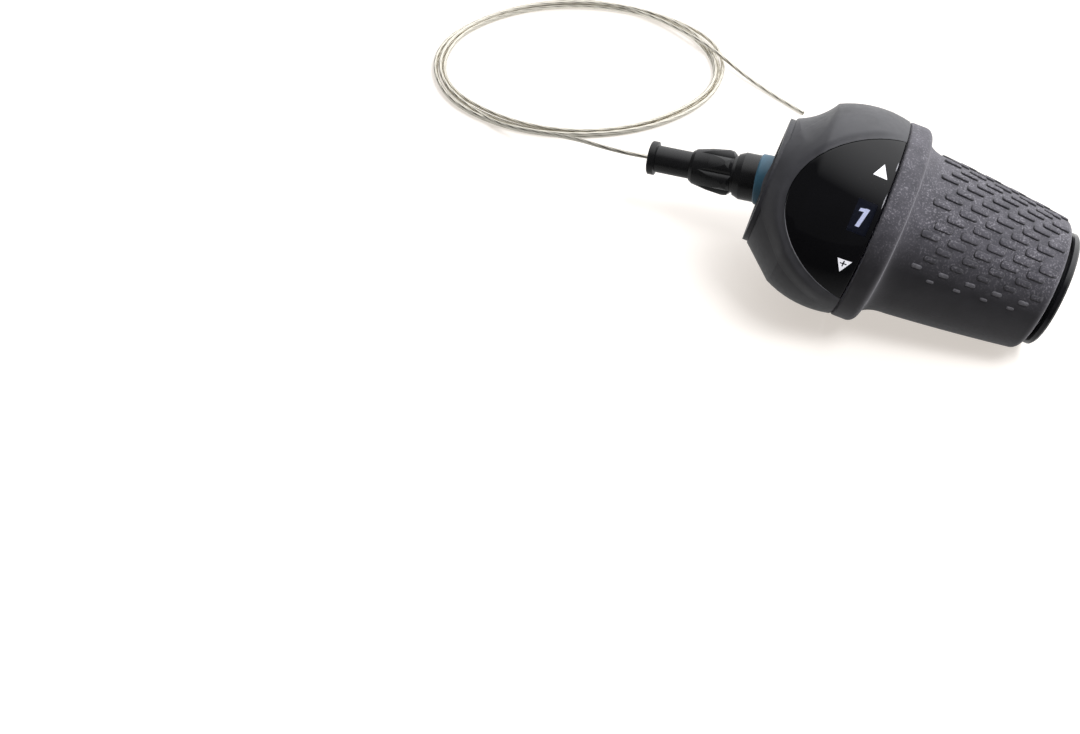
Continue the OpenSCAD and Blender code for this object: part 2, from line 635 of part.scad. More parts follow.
base_tube();
housing_shell();
window_lens();
end_plate();
plate_screws();
clamp_bolt();
clamp_nut();
thrust_washer();
detent_spring();
cable_guide();
adjuster_collar();
collar_ring();
end_ring();
inner_cable();
grip_sleeve();
rubber_grip();
number_drum();
detent_ring();
winding_pulley();
cable_nipple();
adjusting_knob();
casing_socket();
wire_lead();
wire_coil();
wire_tail();
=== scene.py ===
# Looks of a twist-grip shifter that lies on a white table, with its inner wire coiled beside it.
# Shapes on the shifter are worked out about the handlebar axis, in millimetres: x runs towards the
# grip end, x = 0 is the seam, and the angle goes from the window's middle towards +y.
import json
import math

import bmesh
import bpy
from mathutils import Matrix, Vector


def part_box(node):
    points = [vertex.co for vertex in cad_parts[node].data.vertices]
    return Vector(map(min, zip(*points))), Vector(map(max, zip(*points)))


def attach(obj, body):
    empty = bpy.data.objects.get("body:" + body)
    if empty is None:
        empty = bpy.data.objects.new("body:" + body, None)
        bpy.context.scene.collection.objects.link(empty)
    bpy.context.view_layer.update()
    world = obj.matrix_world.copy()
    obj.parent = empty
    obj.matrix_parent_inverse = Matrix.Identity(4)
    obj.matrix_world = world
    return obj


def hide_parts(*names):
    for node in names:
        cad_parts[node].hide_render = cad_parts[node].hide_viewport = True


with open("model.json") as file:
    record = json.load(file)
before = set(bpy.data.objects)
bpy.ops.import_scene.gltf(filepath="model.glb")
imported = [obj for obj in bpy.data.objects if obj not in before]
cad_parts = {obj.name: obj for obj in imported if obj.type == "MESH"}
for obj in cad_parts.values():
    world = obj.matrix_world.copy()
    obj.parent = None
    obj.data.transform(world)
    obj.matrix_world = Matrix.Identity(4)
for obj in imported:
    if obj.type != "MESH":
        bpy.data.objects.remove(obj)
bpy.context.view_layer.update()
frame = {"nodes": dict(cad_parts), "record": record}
NODES = frame["nodes"]

MM = 0.001
FULL_TURN = 2 * math.pi
# The shifter lies rolled about the handlebar axis, which leans down towards the grip end
ROLL, LEAN = math.radians(54), math.radians(12.1)
LAY = Matrix.Rotation(LEAN, 4, "Y") @ Matrix.Rotation(ROLL, 4, "X")
TO_BAR = LAY.inverted()
TABLE_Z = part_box("wire_coil")[0].z

# The photograph's camera, turned to the left and tilted down
CAMERA_AT = Vector((0.0135, -0.3029, 0.2301))
CAMERA_TURN, CAMERA_TILT = math.radians(19.1), math.radians(44.4)
CAMERA_LENS, SENSOR_WIDTH = 46.8, 36
CLIP_NEAR, CLIP_FAR = 0.01, 20


def make_camera():
    data = bpy.data.cameras.new("camera")
    data.lens, data.sensor_width = CAMERA_LENS, SENSOR_WIDTH
    data.clip_start, data.clip_end = CLIP_NEAR, CLIP_FAR
    camera = bpy.data.objects.new("camera", data)
    bpy.context.collection.objects.link(camera)
    level, down = math.cos(CAMERA_TILT), math.sin(CAMERA_TILT)
    way = Vector((-math.sin(CAMERA_TURN) * level, math.cos(CAMERA_TURN) * level, -down))
    camera.location = CAMERA_AT
    camera.rotation_euler = way.to_track_quat("-Z", "Y").to_euler()
    bpy.context.scene.camera = camera


# Between these shares lie most values of a noise texture
NOISE_LOW, NOISE_HIGH = 0.3, 0.7
# A Mix node's two colour inputs and its colour output
MIX_FIRST, MIX_SECOND, MIX_OUT = 6, 7, 2


def set_range(node, *numbers):
    """Sets where a Map Range node maps from and to."""
    for key, number in zip(("From Min", "From Max", "To Min", "To Max"), numbers):
        node.inputs[key].default_value = number


class Shader:
    """A material's node tree, with short names for its nodes and links."""

    def __init__(self, name):
        self.material = bpy.data.materials.new(name)
        self.material.use_nodes = True
        self.tree = self.material.node_tree
        self.main = self.tree.nodes["Principled BSDF"]
        self.out = self.tree.nodes["Material Output"]
        self.coords = self.add("ShaderNodeTexCoord").outputs["Object"]

    def add(self, kind, **values):
        node = self.tree.nodes.new(kind)
        for key, value in values.items():
            setattr(node, key, value)
        return node

    def link(self, source, target):
        self.tree.links.new(source, target)

    def set(self, **values):
        for key, value in values.items():
            self.main.inputs[key.replace("_", " ")].default_value = value

    def noise(self, size, detail, rough=0.5):
        """Noise whose grains are about size millimetres wide."""
        node = self.add("ShaderNodeTexNoise")
        node.inputs["Scale"].default_value = 1 / (size * MM)
        node.inputs["Detail"].default_value = detail
        node.inputs["Roughness"].default_value = rough
        self.link(self.coords, node.inputs["Vector"])
        return node.outputs["Fac"]

    def grains(self, size):
        """Round grains about size millimetres apart."""
        node = self.add("ShaderNodeTexVoronoi")
        node.inputs["Scale"].default_value = 1 / (size * MM)
        self.link(self.coords, node.inputs["Vector"])
        return node.outputs["Distance"]

    def span(self, value, low, high, to_low=0.0, to_high=1.0):
        """value from low..high stretched to to_low..to_high, and held there."""
        node = self.add("ShaderNodeMapRange")
        set_range(node, low, high, to_low, to_high)
        self.link(value, node.inputs["Value"])
        return node.outputs["Result"]

    def cloud(self, size, detail, to_low=0.0, to_high=1.0, rough=0.5):
        """Noise with most of its values stretched to to_low..to_high."""
        return self.span(self.noise(size, detail, rough), NOISE_LOW, NOISE_HIGH, to_low, to_high)

    def math(self, operation, a, b=None):
        node = self.add("ShaderNodeMath", operation=operation)
        for socket, value in zip(node.inputs, (a, b)):
            if value is None:
                continue
            if isinstance(value, (int, float)):
                socket.default_value = value
            else:
                self.link(value, socket)
        return node.outputs["Value"]

    def blend(self, fac, dark, light):
        """Colour between dark and light."""
        node = self.add("ShaderNodeMix", data_type="RGBA")
        self.link(fac, node.inputs["Factor"])
        for place, value in ((MIX_FIRST, dark), (MIX_SECOND, light)):
            if isinstance(value, tuple):
                node.inputs[place].default_value = (*value, 1)
            else:
                self.link(value, node.inputs[place])
        return node.outputs[MIX_OUT]

    def mix(self, fac, first, second):
        """Shader that is first where fac is 0 and second where it is 1."""
        node = self.add("ShaderNodeMixShader")
        for socket, source in zip(node.inputs, (fac, first, second)):
            self.link(source, socket)
        return node.outputs["Shader"]

    def color(self, source):
        self.link(source, self.main.inputs["Base Color"])

    def roughness(self, source):
        self.link(source, self.main.inputs["Roughness"])

    def bump(self, height, depth, strength):
        """Bump of about depth millimetres, added to any that is there."""
        node = self.add("ShaderNodeBump")
        node.inputs["Distance"].default_value = depth * MM
        node.inputs["Strength"].default_value = strength
        self.link(height, node.inputs["Height"])
        socket = self.main.inputs["Normal"]
        if socket.is_linked:
            self.link(socket.links[0].from_socket, node.inputs["Normal"])
        self.link(node.outputs["Normal"], socket)

    def bar_axes(self):
        """Position about the handlebar axis, in metres, as x, y and z."""
        turn = self.add("ShaderNodeMapping", vector_type="POINT")
        turn.inputs["Rotation"].default_value = TO_BAR.to_euler("XYZ")
        self.link(self.coords, turn.inputs["Vector"])
        split = self.add("ShaderNodeSeparateXYZ")
        self.link(turn.outputs["Vector"], split.inputs["Vector"])
        return split.outputs


# Widths of the clouds of tone and of gloss on moulded plastic, in millimetres
TONE_CLOUD, GLOSS_CLOUD = 7, 1.6


def moulded(name, color, rough, grain=0.35, depth=0.012, lighter=1.35):
    """Moulded plastic: fine spark-eroded grain, with faint cloudy changes of tone and gloss."""
    s = Shader(name)
    light = tuple(min(1, c * lighter) for c in color)
    s.color(s.blend(s.cloud(TONE_CLOUD, 4), color, light))
    s.roughness(s.cloud(GLOSS_CLOUD, 5, rough - 0.05, rough + 0.06, rough=0.65))
    s.bump(s.noise(grain, 2), depth, 0.5)
    return s


def housing_plastic():
    s = moulded("housing_plastic", (0.04, 0.04, 0.045), rough=0.38, grain=0.3, depth=0.01)
    s.set(Specular_IOR_Level=0.65)
    return s.material


def dark_nylon():
    return moulded("dark_nylon", (0.03, 0.031, 0.034), rough=0.5).material


def plate_plastic():
    return moulded("plate_plastic", (0.026, 0.026, 0.03), rough=0.4, grain=0.25, depth=0.008).material


def pale_nylon():
    s = moulded("pale_nylon", (0.6, 0.59, 0.54), rough=0.42, grain=0.4, depth=0.008, lighter=1.08)
    s.set(Subsurface_Weight=0.05, Subsurface_Scale=0.002)
    return s.material


def adjuster_plastic():
    black = (0.006, 0.006, 0.0065)
    return moulded("adjuster_plastic", black, rough=0.27, grain=0.28, depth=0.007, lighter=1.3).material


def blue_ring():
    blue = (0.055, 0.15, 0.225)
    return moulded("blue_ring", blue, rough=0.36, grain=0.5, depth=0.005, lighter=1.12).material


def gloss_black():
    s = moulded("gloss_black", (0.006, 0.006, 0.007), rough=0.16, grain=0.6, depth=0.002, lighter=1.2)
    s.set(Coat_Weight=0.5, Coat_Roughness=0.08)
    return s.material


def drum_plastic():
    return moulded("drum_plastic", (0.008, 0.009, 0.014), rough=0.5, grain=0.3, depth=0.005).material


# Pale grey for the painted highlights on the window's edges
def painted_glint():
    grey = (0.24, 0.24, 0.26)
    return moulded("painted_glint", grey, rough=0.22, grain=0.4, depth=0.002, lighter=1.5).material


# Two tones each of the grip's smooth side, dark as painted shade, and of its stipple side, pale as painted
# light, and the colour of the painted sparkle on the second
SHADED_SMOOTH_RUBBER = ((0.014, 0.0135, 0.016), (0.022, 0.021, 0.025))
LIT_STIPPLE_RUBBER = ((0.06, 0.058, 0.069), (0.094, 0.09, 0.106))
PAINTED_SPARKLE_COLOR, STIPPLE_SPARKLE_SIZE, SPARKLE_CLOUD = (0.25, 0.24, 0.27), 0.5, 6
# Angles about the bar between which the grip's skin turns from smooth to stipple, at either side;
# there it also turns from painted shade to painted light
STIPPLE_LIGHT_FADE = (math.radians(-24), math.radians(10))
STIPPLE_LIGHT_FAR_FADE = (math.radians(180), math.radians(150))


def pad_flank_shade():
    """Smooth rubber on the flanks of the pads, its dark colour painted shade round their edges."""
    s = Shader("pad_flank_shade")
    s.color(s.blend(s.cloud(2, 4), (0.01, 0.01, 0.012), (0.018, 0.0175, 0.02)))
    s.roughness(s.cloud(0.9, 4, 0.5, 0.62))
    s.set(Sheen_Weight=0.35, Sheen_Roughness=0.45)
    return s.material


def pad_dash():
    """Pale grey finish all over the smallest pads."""
    s = Shader("pad_dash")
    s.color(s.blend(s.cloud(0.8, 4), (0.07, 0.068, 0.077), (0.13, 0.126, 0.14)))
    s.roughness(s.cloud(0.9, 4, 0.45, 0.6))
    return s.material


def grip_rubber():
    """Soft rubber: stipple with painted light and sparkle among the pads, smooth with painted shade where
    they fade out.
    """
    s = Shader("grip_rubber")
    _, y, z = s.bar_axes()
    angle = s.math("ARCTAN2", y, z)
    stipple_and_light = s.math("MULTIPLY", s.span(angle, *STIPPLE_LIGHT_FADE), s.span(angle, *STIPPLE_LIGHT_FAR_FADE))
    shaded_smooth_side = s.blend(s.cloud(5, 4), *SHADED_SMOOTH_RUBBER)
    lit_rough_side = s.blend(s.cloud(3, 4), *LIT_STIPPLE_RUBBER)
    patches = s.span(s.noise(SPARKLE_CLOUD, 3), 0.35, 0.65, 0.3, 1)
    painted_sparkle = s.math("MULTIPLY", s.span(s.noise(STIPPLE_SPARKLE_SIZE, 2, 0.6), 0.53, 0.66), patches)
    # Painted shade on the smooth side; painted light and pale painted sparkle on the stipple side
    s.color(s.blend(stipple_and_light, shaded_smooth_side, s.blend(painted_sparkle, lit_rough_side, PAINTED_SPARKLE_COLOR)))
    s.roughness(s.math("ADD", s.span(stipple_and_light, 0, 1, 0.4, 0.56), s.cloud(0.9, 5, 0, 0.12, rough=0.7)))
    s.set(Sheen_Weight=0.35, Sheen_Roughness=0.45, Sheen_Tint=(0.95, 0.93, 1, 1))
    s.bump(s.math("MULTIPLY", stipple_and_light, s.noise(STIPPLE_SPARKLE_SIZE, 2, 0.6)), 0.09, 0.7)
    s.bump(s.grains(0.5), 0.03, 0.4)
    return s.material


def zinc_steel():
    s = Shader("screw_steel")
    s.set(Metallic=1.0)
    s.color(s.blend(s.noise(1.5, 4), (0.42, 0.43, 0.45), (0.6, 0.61, 0.62)))
    s.roughness(s.cloud(0.5, 4, 0.26, 0.42))
    s.bump(s.noise(0.2, 2), 0.004, 0.5)
    return s.material


def spring_steel():
    s = Shader("spring_steel")
    s.set(Metallic=1.0)
    s.color(s.blend(s.noise(2, 4), (0.5, 0.51, 0.52), (0.68, 0.68, 0.69)))
    s.roughness(s.cloud(0.6, 4, 0.2, 0.32))
    return s.material


# Strands counted round the wire, and along a metre of it
STRANDS_ROUND, STRANDS_ALONG = 6, 180


def wire_steel():
    """Stranded wire: outer strands that wind round it, drawn along the wire's own u and v."""
    s = Shader("wire_steel")
    s.set(Metallic=1.0)
    lay = s.add("ShaderNodeUVMap", uv_map="along")
    split = s.add("ShaderNodeSeparateXYZ")
    s.link(lay.outputs["UV"], split.inputs["Vector"])
    phase = s.math("ADD", s.math("MULTIPLY", split.outputs["X"], STRANDS_ROUND * FULL_TURN),
                   s.math("MULTIPLY", split.outputs["Y"], STRANDS_ALONG * FULL_TURN))
    strand = s.math("ABSOLUTE", s.math("SINE", s.math("MULTIPLY", phase, 0.5)))
    s.bump(strand, 0.12, 0.6)
    # Darker colour in the grooves between the strands is painted shade, paler on their crowns
    s.color(s.blend(s.span(strand, 0.0, 0.6), (0.42, 0.385, 0.31), (0.86, 0.82, 0.72)))
    s.roughness(s.cloud(1.2, 4, 0.3, 0.45))
    return s.material


# Clear field in the smoked window, and its soft edge, in millimetres about the bar
FIELD_X, FIELD_Y, FIELD_EDGE = (-6.6, -1.5), (-4.1, 4.3), 0.12
FIELD_TINT, GLASS_IOR = (0.86, 0.88, 0.96, 1), 1.5


def clear_field(s):
    """1 in the window's clear field and 0 outside it."""
    x, y, _ = s.bar_axes()
    edge = FIELD_EDGE * MM
    inside = None
    for value, (low, high) in ((x, FIELD_X), (y, FIELD_Y)):
        for start, way in ((low, 1), (high, -1)):
            step = s.span(value, start * MM - way * edge, start * MM + way * edge)
            inside = step if inside is None else s.math("MULTIPLY", inside, step)
    return inside


def window_plastic():
    """Smoked window: black gloss, with a clear bluish field over the drum's numbers."""
    s = Shader("window_plastic")
    s.color(s.blend(s.cloud(12, 2), (0.0035, 0.0035, 0.0042), (0.005, 0.005, 0.006)))
    s.roughness(s.cloud(6, 3, 0.035, 0.06))
    s.set(Specular_IOR_Level=0.4)
    tint = s.add("ShaderNodeBsdfTransparent")
    tint.inputs["Color"].default_value = FIELD_TINT
    shine = s.add("ShaderNodeBsdfGlossy")
    shine.inputs["Roughness"].default_value = 0.05
    fresnel = s.add("ShaderNodeFresnel")
    fresnel.inputs["IOR"].default_value = GLASS_IOR
    pane = s.mix(fresnel.outputs["Fac"], tint.outputs["BSDF"], shine.outputs["BSDF"])
    smoked = s.mix(clear_field(s), s.main.outputs["BSDF"], pane)
    # Light from the lamp passes through all of the window
    ray = s.add("ShaderNodeLightPath")
    s.link(s.mix(ray.outputs["Is Shadow Ray"], smoked, tint.outputs["BSDF"]), s.out.inputs["Surface"])
    return s.material


def glowing_print_white():
    """White print, with a faint glow that keeps it white beside and behind the dark window."""
    s = Shader("glowing_print_white")
    s.color(s.blend(s.span(s.noise(0.5, 4), 0.35, 0.65), (0.72, 0.71, 0.75), (0.82, 0.81, 0.84)))
    s.roughness(s.cloud(0.8, 3, 0.3, 0.4))
    # Painted glow: the print gives light of its own, though it is no lamp
    s.set(Emission_Color=(0.9, 0.92, 1, 1), Emission_Strength=0.35)
    return s.material


# Driving sizes that the solids have too, in millimetres
HOUSING_LEN, HOUSING_R, NECK_R = 27.2, 27.5, 17.3
DOME_APEX, DOME_ARC, DOME_START = 6.5, 28, 18.5
WINDOW_REACH, WINDOW_HALF, WINDOW_T, WINDOW_BEND = 23, 21, 1.5, 1.24
SEAM_GAP, SEAT_GAP, EDGE_GAP = 0.3, 0.05, 0.1
GRIP_LEN, ROOT_X, ROOT_R, TIP_R, GRIP_EDGE = 47.6, 13, 21.5, 17.9, 2
FLANGE_R, FLANGE_W, FLANGE_EDGE, HUB_R = 26.8, 6.1, 2.2, 13.95
SADDLE_DEEP, SADDLE_SHIFT = 0.9, 3
SADDLE_FROM, SADDLE_TO = -HOUSING_LEN + 0.4, -DOME_START - 0.1
TAPER_STRAIGHT = 0.75
DRUM_R = 24.2


def on_bar(x, angle, r):
    """Point in the shared frame at x along the bar, at an angle about it in degrees, at radius r."""
    a = math.radians(angle)
    return LAY @ (Vector((x, r * math.sin(a), r * math.cos(a))) * MM)


def dome_r(x):
    """Radius of the housing: an arc that meets the straight neck cone."""
    if x < -DOME_START:
        shoulder = dome_r(-DOME_START)
        return NECK_R + (x + HOUSING_LEN) * (shoulder - NECK_R) / (HOUSING_LEN - DOME_START)
    return HOUSING_R - DOME_ARC + math.sqrt(DOME_ARC ** 2 - (x + DOME_APEX) ** 2)


def saddle_arc():
    """The arc that hollows the neck, over a chord on the dome's line: its middle and its radius."""
    start = Vector((SADDLE_FROM, dome_r(SADDLE_FROM)))
    chord = Vector((SADDLE_TO, dome_r(SADDLE_TO))) - start
    r = chord.length_squared / 8 / SADDLE_DEEP + SADDLE_DEEP / 2
    return start + chord / 2 + (r - SADDLE_DEEP) * Vector((-chord.y, chord.x)).normalized(), r


def skin_r(x, angle):
    """Radius of the housing with its hollow, which is turned about an axis beside the handlebar's."""
    middle, r = saddle_arc()
    if abs(x - middle.x) >= r:
        return dome_r(x)
    a = math.radians(angle)
    hollow = middle.y + SADDLE_SHIFT - math.sqrt(r * r - (x - middle.x) ** 2)
    cut = math.sqrt(hollow ** 2 - (SADDLE_SHIFT * math.cos(a)) ** 2) - SADDLE_SHIFT * math.sin(a)
    return min(dome_r(x), cut)


def taper_r(x):
    """Radius of the grip between its fillet and its end."""
    s = (x - ROOT_X) / (GRIP_LEN - GRIP_EDGE - ROOT_X)
    return ROOT_R + (TIP_R - ROOT_R) * (TAPER_STRAIGHT * s + (1 - TAPER_STRAIGHT) * s * s)


def new_piece(name, bm, material, body):
    """Smooth-shaded piece that rides on a body."""
    mesh = bpy.data.meshes.new(name)
    bmesh.ops.recalc_face_normals(bm, faces=bm.faces)
    bm.to_mesh(mesh)
    bm.free()
    for polygon in mesh.polygons:
        polygon.use_smooth = True
    piece = bpy.data.objects.new(name, mesh)
    bpy.context.collection.objects.link(piece)
    mesh.materials.append(material)
    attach(piece, body)
    return piece


def join_rings(bm, rings, closed=True):
    """Faces between rings, or between open lines, of equally many points."""
    for low, high in zip(rings, rings[1:]):
        for i in range(len(low) if closed else len(low) - 1):
            j = (i + 1) % len(low)
            bm.faces.new((low[i], low[j], high[j], high[i]))


def smooth(share):
    """Soft step from 0, where share is 0 or less, to 1, where it is 1 or more."""
    share = min(1, max(0, share))
    return share * share * (3 - 2 * share)


# Window: steps of its grid, its rounded edge as distance in and drop, and how proud its marks are
PANE_ACROSS, PANE_ALONG = 40, 72
PANE_EDGE = ((0, 0.3), (0.08, 0.13), (0.22, 0.035), (0.4, 0))
MARK_LIFT = 0.03
# Painted highlight as a pale line on the window's round edge: angles it runs between and grows and fades
# over, and its place
GLINT_FROM, GLINT_TO, GLINT_GROWS, GLINT_FADES = -84, -4, 12, 30
GLINT_WIDTH, GLINT_IN, GLINT_SHRINK, GLINT_LIFT = 0.3, 0.06, 0.995, 0.05
# Painted highlights as pale lines on the window's edge at the seam: from and to these y, with blunt ends
SEAM_GLINTS = ((3.6, 7.6), (13.2, 15.6))
SEAM_GLINT_X, SEAM_GLINT_HALF = -SEAM_GAP - 0.32, 0.13
SEAM_GLINT_STEPS, SEAM_GLINT_BLUNT = 8, 0.3


def window_edge(t):
    """Edge of the window at t degrees, from -90 to 90: x and y about the bar."""
    a = math.radians(t)
    return -WINDOW_REACH * max(0, math.cos(a)) ** WINDOW_BEND, WINDOW_HALF * math.sin(a)


def window_point(x, y, drop):
    """Point at x and y about the bar, drop under the dome."""
    r = dome_r(x) - drop
    return LAY @ (Vector((x, y, math.sqrt(r * r - y * y))) * MM)


def window_pane(material):
    """The window as a closed shell with a fine even grid, so that it mirrors cleanly, and rounded edges."""
    bm = bmesh.new()
    long, half = (WINDOW_REACH - EDGE_GAP) / WINDOW_REACH, (WINDOW_HALF - EDGE_GAP) / WINDOW_HALF
    flat_from = PANE_EDGE[-1][0]
    rows = []
    for i in range(PANE_ALONG + 1):
        ex, ey = window_edge(-90 + 180 * i / PANE_ALONG)
        length = max(0.01, -ex * long - SEAM_GAP)
        inset = min(1, length / 2)
        flat = length - 2 * flat_from * inset
        places = [(SEAM_GAP + d * inset, drop) for d, drop in PANE_EDGE]
        places += [
            (SEAM_GAP + flat_from * inset + flat * k / PANE_ACROSS, 0) for k in range(1, PANE_ACROSS)
        ]
        places += [(SEAM_GAP + length - d * inset, drop) for d, drop in reversed(PANE_EDGE)]
        rows.append([(-x, ey * half, drop) for x, drop in places])
    top = [[bm.verts.new(window_point(x, y, SEAT_GAP + drop)) for x, y, drop in row] for row in rows]
    low = [[bm.verts.new(window_point(x, y, WINDOW_T)) for x, y, _ in row] for row in rows]
    join_rings(bm, top, closed=False)
    join_rings(bm, low, closed=False)
    for end in (0, -1):
        join_rings(bm, [top[end], low[end]], closed=False)
        join_rings(bm, [[row[end] for row in top], [row[end] for row in low]], closed=False)
    pane = new_piece("window_pane", bm, material, "housing")
    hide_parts("window_lens")


def window_glint(material):
    """Thin pale lines, painted highlights where the window's rounded edges catch the light."""
    bm = bmesh.new()
    lines = []
    for t in range(GLINT_FROM, GLINT_TO + 1):
        x, y = window_edge(t)
        x = min(x * (WINDOW_REACH - EDGE_GAP) / WINDOW_REACH, -SEAM_GAP) + GLINT_IN
        width = GLINT_WIDTH * smooth((t - GLINT_FROM) / GLINT_GROWS) * smooth((GLINT_TO - t) / GLINT_FADES)
        lines.append([
            bm.verts.new(window_point(x + width * k / 2, y * GLINT_SHRINK, SEAT_GAP - GLINT_LIFT))
            for k in range(3)
        ])
    join_rings(bm, lines, closed=False)
    for low, high in SEAM_GLINTS:
        lines = []
        for i in range(SEAM_GLINT_STEPS + 1):
            y = low + (high - low) * i / SEAM_GLINT_STEPS
            swell = math.pi * (i + SEAM_GLINT_BLUNT) / (SEAM_GLINT_STEPS + 2 * SEAM_GLINT_BLUNT)
            half = SEAM_GLINT_HALF * math.sin(swell)
            sides = [window_point(SEAM_GLINT_X + k * half, y, SEAT_GAP - MARK_LIFT) for k in (-1, 1)]
            lines.append([bm.verts.new(side) for side in sides])
        join_rings(bm, lines, closed=False)
    new_piece("window_glint", bm, material, "housing")


# Ridge round the window: distance of its crest from the edge, height there, and width below and above
BEZEL_CREST, BEZEL_HEIGHT = 2.2, 0.7
BEZEL_WIDTH, BEZEL_WIDTH_TOP = 6.6, 17
BEZEL_ACROSS, BEZEL_ALONG = 36, 120
# From this angle on it widens, over so many degrees, and its lines crowd together near the window
BEZEL_WIDENS_AT, BEZEL_WIDENS_OVER, BEZEL_CROWD = 5, 60, 1.4
# Its skin is just proud of the housing, its border just under it, and beside the seam a share is left
BEZEL_LIFT, BEZEL_SINK = 0.03, 0.05
BEZEL_SEAM_SHARE, BEZEL_SEAM_FADE = 0.12, 9


def edge_angle(t):
    """Edge of the window at t degrees, from -90 to 90: x, and the angle about the bar in radians."""
    x, y = window_edge(t)
    return x, math.asin(y / dome_r(x))


def bezel_ridge(material):
    """Smooth ridge round the window, wider on the upper side, that fades out towards the seam."""
    bm = bmesh.new()
    lines = []
    for i in range(BEZEL_ALONG + 1):
        t = -90 + 180 * i / BEZEL_ALONG
        x, angle = edge_angle(t)
        (x0, angle0), (x1, angle1) = edge_angle(max(-90, t - 0.5)), edge_angle(min(90, t + 0.5))
        way = Vector((x1 - x0, dome_r(x) * (angle1 - angle0))).normalized()
        widens = smooth((t - BEZEL_WIDENS_AT) / BEZEL_WIDENS_OVER)
        width = BEZEL_WIDTH + (BEZEL_WIDTH_TOP - BEZEL_WIDTH) * widens
        line = []
        for k in range(BEZEL_ACROSS + 1):
            d = width * (k / BEZEL_ACROSS) ** BEZEL_CROWD
            px = min(-SEAM_GAP, x - way.y * d)
            turn = math.degrees(angle + way.x * d / dome_r(x))
            rise = smooth(d / BEZEL_CREST)
            fall = 1 - smooth((d - BEZEL_CREST) / (width - BEZEL_CREST))
            fade = BEZEL_SEAM_SHARE + (1 - BEZEL_SEAM_SHARE) * smooth((-px - 0.5) / BEZEL_SEAM_FADE)
            lift = -BEZEL_SINK
            if 0 < k < BEZEL_ACROSS:
                lift = BEZEL_LIFT + BEZEL_HEIGHT * fade * rise * fall
            line.append(bm.verts.new(on_bar(px, turn, skin_r(px, turn) + lift)))
        lines.append(line)
    join_rings(bm, lines, closed=False)
    new_piece("bezel_ridge", bm, material, "housing")


# Pads on the grip: rows along the bar, each moved along by a third of a step
PAD_STEP, PAD_LEN, PAD_W, PAD_HEIGHT = 7.0, 4.6, 1.75, 0.5
PAD_FROM, PAD_END_GAP = 13.5, 2.6
ROW_STEP, ROW_START, ROWS = 7.44, 20, (-8, 16)
# Angles about the bar between which the pads shrink, and their least size as a share
FADE_FROM, FADE_TO, PAD_LEAST = 4, -27, 0.32
# Pads smaller than this share are pale dashes
DASH_SIZE = 0.62
# Side of a pad from under the skin up to its flat top: distance in, and height as a share
PAD_SIDE = ((-0.22, -0.3), (-0.06, 0.15), (0.02, 0.72), (0.12, 0.93), (0.3, 1.0))
PAD_CORNER, PAD_CROWN = 0.62, 1.04
# Least half width of a pad's top, and what is left of it beside the corners
PAD_TOP_HALF, PAD_TOP_STRAIGHT = 0.08, 0.02
# Places of the pads' finishes among the grip's materials: first the painted shade on their flanks, then the
# dashes
FLANK_SHADE_FINISH, DASH_FINISH = 1, 2


def pad_outline(length, width, corner, steps=4):
    """Points of a rounded rectangle about the origin."""
    points = []
    for sx, sy, start in ((1, 1, 0), (-1, 1, 90), (-1, -1, 180), (1, -1, 270)):
        cx, cy = sx * (length / 2 - corner), sy * (width / 2 - corner)
        for i in range(steps + 1):
            a = math.radians(start + 90 * i / steps)
            points.append((cx + corner * math.cos(a), cy + corner * math.sin(a)))
    return points


def add_pad(bm, x, angle, length, width, height, dash):
    """One raised pad that follows the grip's skin: with flanks dark from painted shade, or pale all over as
    a dash.
    """
    rings = []
    for shrink, lift in PAD_SIDE:
        shrink = min(shrink, width / 2 - PAD_TOP_HALF)
        corner = min(PAD_CORNER, width / 2 - shrink - PAD_TOP_STRAIGHT)
        outline = pad_outline(length - 2 * shrink, width - 2 * shrink, corner)
        places = [(x + u, angle + math.degrees(v / taper_r(x)), taper_r(x + u)) for u, v in outline]
        rings.append([bm.verts.new(on_bar(px, turn, r + lift * height)) for px, turn, r in places])
    join_rings(bm, rings)
    top = rings[-1]
    centre = bm.verts.new(on_bar(x, angle, taper_r(x) + height * PAD_CROWN))
    for i in range(len(top)):
        bm.faces.new((top[i], top[(i + 1) % len(top)], centre))
    for vert in sum(rings, []) if dash else (*rings[0], *rings[1]):
        for face in vert.link_faces:
            face.material_index = DASH_FINISH if dash else FLANK_SHADE_FINISH


def add_pads(bm):
    """Pads all round the grip but for its smooth side, where they shrink to dashes."""
    for row in range(ROWS[0], ROWS[1] + 1):
        angle = ROW_START + row * ROW_STEP
        if angle < FADE_TO:
            continue
        shrunk = min(1, (angle - FADE_TO) / (FADE_FROM - FADE_TO))
        size = PAD_LEAST + (1 - PAD_LEAST) * shrunk
        x = PAD_FROM + (row - ROWS[0]) % 3 * PAD_STEP / 3
        while x <= GRIP_LEN - PAD_END_GAP:
            add_pad(bm, x, angle, PAD_LEN * size, PAD_W * size, PAD_HEIGHT * size, size < DASH_SIZE)
            x += PAD_STEP


# Rounded edge of the flange beside the seam: distance along and drop
SEAM_EDGE = ((0, 0.5), (0.06, 0.22), (0.22, 0.06), (0.5, 0))
FILLET_STEPS, TAPER_STEPS, TIP_STEPS, GRIP_SIDES = 16, 24, 8, 144


